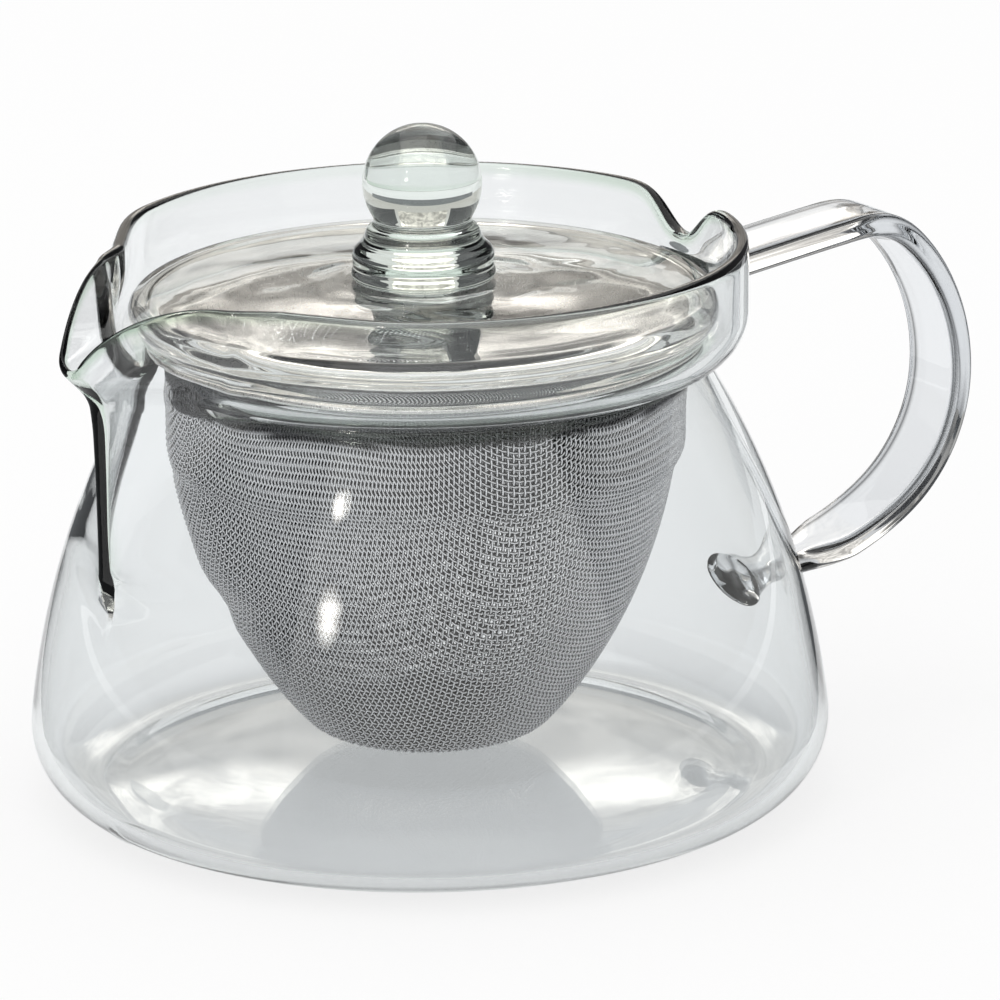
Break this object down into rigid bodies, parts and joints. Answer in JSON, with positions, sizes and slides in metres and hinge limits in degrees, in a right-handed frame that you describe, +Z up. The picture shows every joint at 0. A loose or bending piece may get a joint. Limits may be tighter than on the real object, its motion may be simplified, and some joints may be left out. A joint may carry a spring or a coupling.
{
  "type": "glass teapot",
  "caption": "Clear glass teapot with a wide belly, a collar that draws out into a pouring lip, a flat band handle, a lift-out wire cloth strainer and a lift-off lid with a ball knob.",
  "frame": {"origin": "middle of the flat base, on the surface that the pot stands on", "axes": "+Z up, +X towards the handle, -X towards the spout"},
  "size_m": [0.1732, 0.131, 0.111],
  "materials": {
    "pot_glass": "clear blown heat-proof glass, faintly green at its edges",
    "handle_glass": "clear drawn glass band",
    "lid_glass": "clear pressed glass with a slight ripple",
    "knob_glass": "clear solid glass",
    "wire_cloth": "plain woven stainless wire cloth",
    "hoop_steel": "rolled stainless strip"
  },
  "bodies": {
    "pot": {"pot_body": "pot_glass", "pot_handle": "handle_glass"},
    "strainer": {"strainer_mesh": "wire_cloth", "strainer_rim": "hoop_steel"},
    "lid": {"lid_plate": "lid_glass", "lid_knob": "knob_glass"}
  },
  "joints": [
    {"name": "strainer_lift", "type": "slide", "parent": "pot", "child": "strainer", "axis": [0, 0, 1], "range_m": [0, 0.085]},
    {"name": "lid_lift", "type": "slide", "parent": "strainer", "child": "lid", "axis": [0, 0, 1], "range_m": [0, 0.05]}
  ]
}
